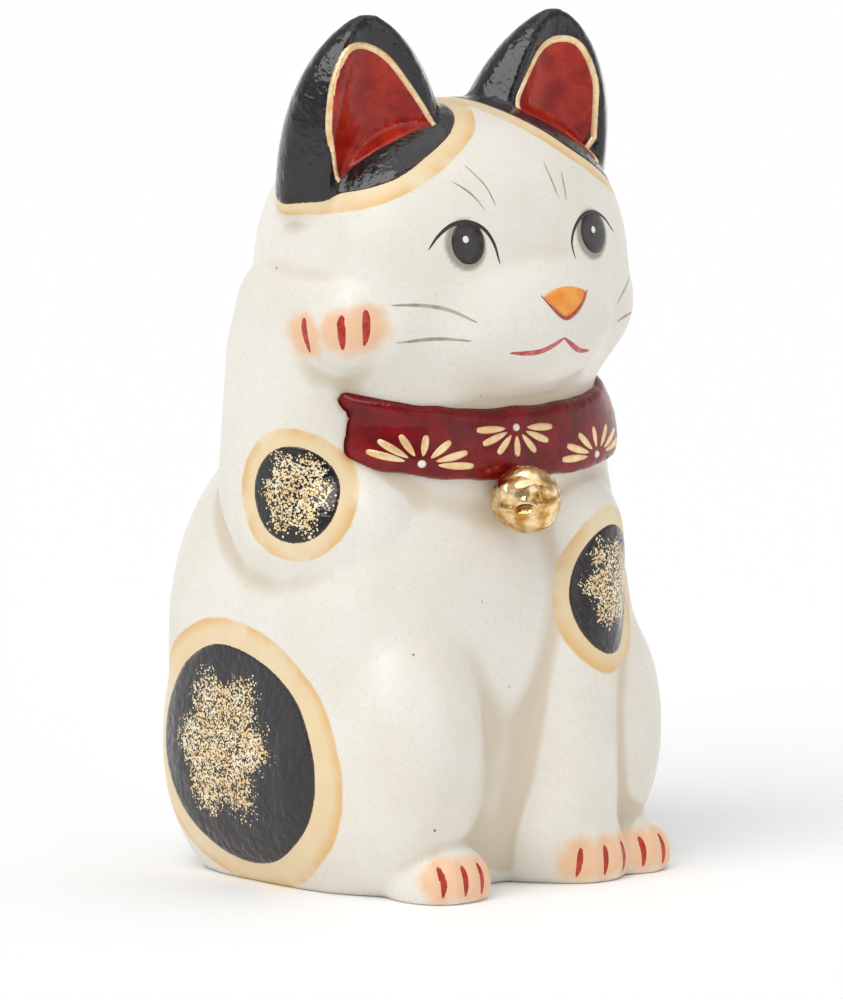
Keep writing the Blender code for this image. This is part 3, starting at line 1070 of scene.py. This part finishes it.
def face_paint(black, orange, outline_red, mouth_red, grey, white):
    """The eyes, nose, mouth, whiskers and brows."""
    made = []

    def add(piece, finish, slot):
        finish.on(piece)
        made.append((piece, slot))

    irises, lights = bmesh.new(), bmesh.new()
    for (x, z), half_width, half_height in EYES:
        spot = face_spot(x, z)
        facing = Vector((x * 0.012, -1, 0.1))
        add_dab(irises, skin_tree, spot, oval(half_width, half_height, 48), facing, height=0.13)
    bmesh.ops.recalc_face_normals(irises, faces=irises.faces)
    eye_piece = object_from("irises", irises)
    add(eye_piece, black, "ear_enamel")
    eye_tree = tree_of(eye_piece)
    # Painted highlights: a white dot on each iris.
    for (x, z), radius in EYE_PAINTED_HIGHLIGHTS:
        outline = oval(radius, radius * 1.08, 20)
        add_dab(lights, eye_tree, face_spot(x, z), outline, FORWARD, height=0.07, rings=3)
    bmesh.ops.recalc_face_normals(lights, faces=lights.faces)
    add(object_from("eye_painted_highlights", lights), white, "white_glaze")
    lids = [(0.9, on_face(*RIGHT_LID)), (0.85, on_face(*LEFT_LID))]
    add(strokes("eyelids", skin_tree, lids, height=0.1), black, "ear_enamel")
    nose = bmesh.new()
    round_nose = spline([(x, z, 0) for x, z in (*NOSE, NOSE[0])], 0.7)[:-1]
    outline = [(p.x - NOSE_MIDDLE[0], p.y - NOSE_MIDDLE[1]) for p in round_nose]
    add_dab(nose, skin_tree, face_spot(*NOSE_MIDDLE), outline, FORWARD, height=0.16)
    bmesh.ops.recalc_face_normals(nose, faces=nose.faces)
    add(object_from("nose", nose), orange, "collar_enamel")
    nose_line = [(0.75, on_face(*NOSE_LINE))]
    add(strokes("nose_line", skin_tree, nose_line, height=0.2), outline_red, "collar_enamel")
    mouth = [(1.15, on_face(*MOUTH_RIGHT)), (1.15, on_face(*MOUTH_LEFT))]
    add(strokes("mouth", skin_tree, mouth, height=0.1, end=0.25), mouth_red, "collar_enamel")
    hairs = [(0.85, on_face(*line)) for line in WHISKERS]
    add(strokes("whiskers", skin_tree, hairs, height=0.05), grey, "ear_enamel")
    brows = [(0.5, on_face(*line)) for line in BROWS]
    add(strokes("brows", skin_tree, brows, height=0.04), grey, "ear_enamel")
    return made


def claws(finish):
    """The red claw marks on the feet and on the raised paw."""
    lines = []
    for x, top, foot in claw_marks():
        lines.append((1.5, [face_spot(x, z) for z in (top, (top + foot) / 2, foot)]))
    for claw in PAW_CLAWS:
        middle = Vector(claw)
        lines.append((1.9, [middle + UP * 3.4, middle, middle - UP * 3.4]))
    piece = strokes("claws", skin_tree, lines, height=0.1, tear=0.75)
    finish.on(piece)
    return piece, "collar_enamel"


# ---------------------------------------------------------------- camera, light and floor


def aim(obj, place, target):
    obj.location = place
    obj.rotation_euler = (Vector(target) - Vector(place)).to_track_quat("-Z", "Y").to_euler()


def add_camera():
    azimuth, elevation, distance = math.radians(-42), math.radians(6.5), 1.2
    target = Vector((0, 0, 0.069))
    back = Vector(
        (
            math.sin(azimuth) * math.cos(elevation),
            -math.cos(azimuth) * math.cos(elevation),
            math.sin(elevation),
        )
    )
    lens = bpy.data.cameras.new("camera")
    lens.lens = 232
    lens.sensor_width = 36
    lens.shift_x = 0.003
    camera = new_object("camera", lens)
    aim(camera, target + back * distance, target)
    bpy.context.scene.camera = camera


def add_sun(name, azimuth, elevation, strength, spread):
    """Soft light from far away. Azimuth is from the front towards the cat's left. Angles are in degrees."""
    light = bpy.data.lights.new(name, "SUN")
    light.energy = strength
    light.angle = math.radians(spread)
    turn, rise = math.radians(azimuth), math.radians(elevation)
    flat = math.cos(rise)
    place = Vector((math.sin(turn) * flat, -math.cos(turn) * flat, math.sin(rise)))
    aim(new_object(name, light), place, (0, 0, 0))


def add_world():
    """A bright band round the horizon under a dimmer dome, darker in front, as in a white tent."""
    world = bpy.data.worlds.new("studio")
    world.use_nodes = True
    tree = world.node_tree
    split = tree.nodes.new("ShaderNodeSeparateXYZ")
    coordinates = tree.nodes.new("ShaderNodeTexCoord")
    tree.links.new(coordinates.outputs["Generated"], split.inputs["Vector"])
    fade = tree.nodes.new("ShaderNodeMapRange")
    fade.interpolation_type = "SMOOTHSTEP"
    for socket, value in zip(("From Min", "From Max", "To Min", "To Max"), (0.1, 0.4, HORIZON, DOME)):
        fade.inputs[socket].default_value = value
    tree.links.new(split.outputs["Z"], fade.inputs["Value"])
    turn = math.radians(SHADE_AZIMUTH)
    toward = tree.nodes.new("ShaderNodeVectorMath")
    toward.operation = "DOT_PRODUCT"
    toward.inputs[1].default_value = (math.sin(turn), -math.cos(turn), 0)
    tree.links.new(coordinates.outputs["Generated"], toward.inputs[0])
    shade = tree.nodes.new("ShaderNodeMapRange")
    shade.interpolation_type = "SMOOTHSTEP"
    for socket, value in zip(("From Min", "From Max", "To Min", "To Max"), (0.2, 0.95, 1.0, SHADE)):
        shade.inputs[socket].default_value = value
    tree.links.new(toward.outputs["Value"], shade.inputs["Value"])
    strength = tree.nodes.new("ShaderNodeMath")
    strength.operation = "MULTIPLY"
    tree.links.new(fade.outputs["Result"], strength.inputs[0])
    tree.links.new(shade.outputs["Result"], strength.inputs[1])
    sky = tree.nodes["Background"]
    sky.inputs["Color"].default_value = (1, 1, 1, 1)
    tree.links.new(strength.outputs[0], sky.inputs["Strength"])
    bpy.context.scene.world = world


def add_studio():
    add_world()
    bpy.context.scene.view_settings.view_transform = "Standard"
    add_sun("key", -75, 48, 1.55, 45)
    add_sun("top", 20, 78, 0.62, 60)
    add_sun("fill", 0, 18, 0.34, 40)
    bm = bmesh.new()
    bmesh.ops.create_grid(bm, x_segments=1, y_segments=1, size=12)
    floor = object_from("floor", bm)
    paint = Finish("floor", Base_Color=(0.965, 0.965, 0.965, 1), Roughness=0.85, Specular_IOR_Level=0.1)
    paint.on(floor)


# ---------------------------------------------------------------- everything together

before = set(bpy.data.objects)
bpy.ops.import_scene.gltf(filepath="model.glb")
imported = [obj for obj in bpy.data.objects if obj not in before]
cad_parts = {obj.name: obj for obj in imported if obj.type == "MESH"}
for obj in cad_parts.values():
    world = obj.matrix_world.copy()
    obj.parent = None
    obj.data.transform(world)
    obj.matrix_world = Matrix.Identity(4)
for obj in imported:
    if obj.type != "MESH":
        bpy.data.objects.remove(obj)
cad_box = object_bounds()
collar_low, collar_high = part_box("collar")
collar_middle = Vector((0, -1, (collar_low[2] + collar_high[2]) / 2 / MM))
add_camera()
add_studio()
skin = wiped_skin("glazed_skin", (*WHITE_NODES, *EAR_NODES))
skin_tree = tree_of(skin)
carve(skin)
skin_tree = tree_of(skin)
paint_skin(skin)
recess_base(skin)
white = white_glaze()
white.on(skin)
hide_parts(*WHITE_NODES)
pieces = [(skin, "white_glaze")]

black = gilded_black("black_enamel")
scarlet = red_enamel("ear_red", (0.25, 0.004, 0.001), (0.45, 0.026, 0.008))
crimson = red_enamel("collar_red", (0.13, 0.001, 0.002), (0.24, 0.003, 0.006), peel=0.12)
rim_gold = gold_paint("rim_gold", cracked=True)
petal_gold = gold_paint("petal_gold", cracked=False)
enamel_white = flat_paint("white_enamel", (0.84, 0.82, 0.78), (0.78, 0.76, 0.72))
ink = flat_paint("black_ink", (0.018, 0.015, 0.015), (0.035, 0.03, 0.028), 0.2)
grey_ink = flat_paint("grey_ink", (0.3, 0.27, 0.21), (0.46, 0.42, 0.35), 0.5, 2.5)
orange = flat_paint("orange_enamel", (0.9, 0.37, 0.06), (0.84, 0.27, 0.04), 0.3, 3)
brick = flat_paint("brick_paint", (0.38, 0.05, 0.025), (0.5, 0.1, 0.05), 0.35)
rose = flat_paint("rose_paint", (0.45, 0.05, 0.05), (0.62, 0.16, 0.15), 0.35)
blood = flat_paint("claw_red", (0.36, 0.012, 0.006), (0.52, 0.04, 0.022), 0.3)

pieces += black_patches(black)
for side in (-1, 1):
    pieces.append(ear_black(side, black))
    pieces.append(ear_red(side, scarlet))
    pieces.append(ear_rim(side, rim_gold))
pieces += face_paint(ink, orange, brick, rose, grey_ink, enamel_white)
pieces.append(claws(blood))
collar = make_collar(crimson)
pieces.append((collar, "collar_enamel"))
pieces += collar_flowers(collar, petal_gold, enamel_white)
pieces.append(make_bell(bell_gold()))
bare_clay().on(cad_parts["base_slab"])

for piece, slot in pieces:
    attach(piece, "root")
